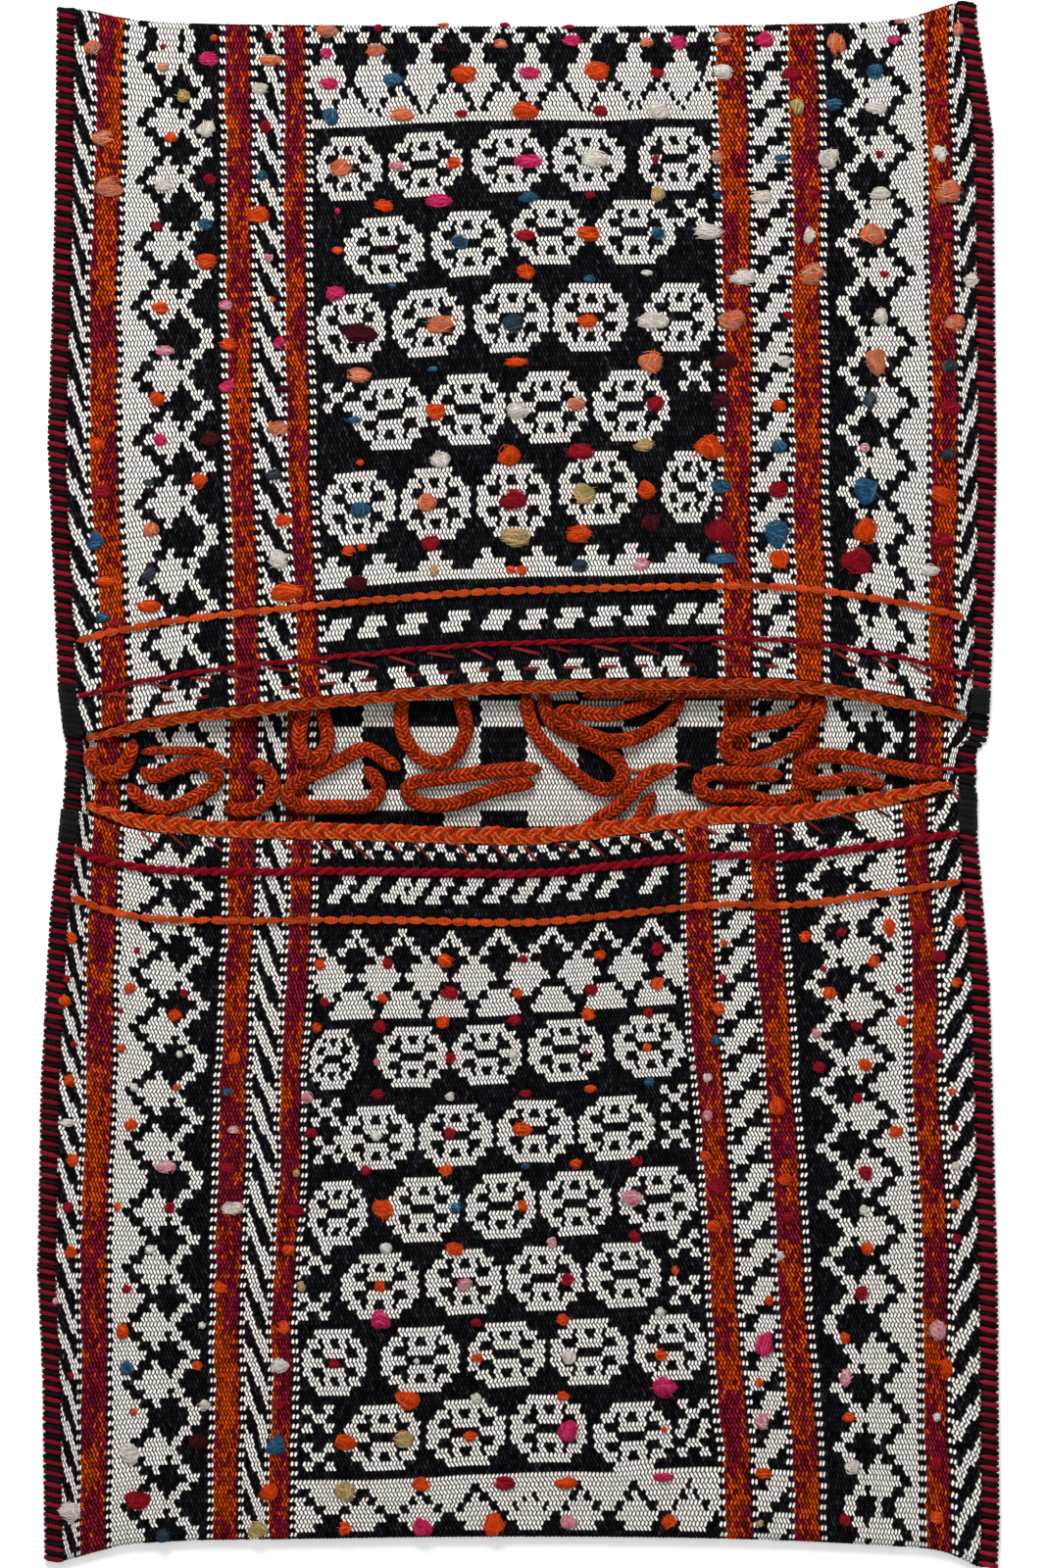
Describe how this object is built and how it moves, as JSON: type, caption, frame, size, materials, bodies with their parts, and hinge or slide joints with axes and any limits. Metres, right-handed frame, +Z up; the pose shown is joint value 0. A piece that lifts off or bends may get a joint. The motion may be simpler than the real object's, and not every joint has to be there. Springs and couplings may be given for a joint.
{
  "type": "kilim saddle bag",
  "caption": "Double saddle bag of one thick woven wool strip folded into two flat pockets that open towards each other, with braided mouths, overcast sides and loose closure loops.",
  "frame": {"origin": "middle of the bounding box, on the flat surface the bag lies on", "axes": "+Y along the bag from the lower pocket's fold to the upper pocket's fold, +X across it, +Z up from the surface"},
  "size_m": [0.5029, 0.8182, 0.0195],
  "materials": {
    "black_wool": "matt wool",
    "rust_braid": "matt wool yarn",
    "orange_braid": "matt wool yarn",
    "crimson_yarn": "matt wool yarn",
    "black_yarn": "matt wool yarn"
  },
  "bodies": {
    "root": {"binding_left_bridge": "crimson_yarn", "binding_left_lower": "crimson_yarn", "binding_left_upper": "crimson_yarn", "binding_right_bridge": "crimson_yarn", "binding_right_lower": "crimson_yarn", "binding_right_upper": "crimson_yarn", "chain_stitch_lower": "rust_braid", "chain_stitch_upper": "rust_braid", "closure_loop_a": "orange_braid", "closure_loop_b": "orange_braid", "closure_loop_c": "orange_braid", "closure_loop_d": "orange_braid", "closure_loop_e": "orange_braid", "closure_loop_f": "orange_braid", "closure_loop_g": "orange_braid", "closure_loop_h": "orange_braid", "closure_loop_i": "orange_braid", "closure_loop_j": "orange_braid", "closure_loop_k": "orange_braid", "closure_loop_l": "orange_braid", "closure_loop_m": "orange_braid", "corner_wrap_left_lower": "black_yarn", "corner_wrap_left_upper": "black_yarn", "corner_wrap_right_lower": "black_yarn", "corner_wrap_right_upper": "black_yarn", "loop_base_cord": "orange_braid", "loop_tail": "orange_braid", "mouth_braid_lower": "rust_braid", "mouth_braid_upper": "rust_braid", "twined_stitch_lower": "crimson_yarn", "twined_stitch_upper": "crimson_yarn", "woven_cloth": "black_wool"}
  },
  "joints": []
}
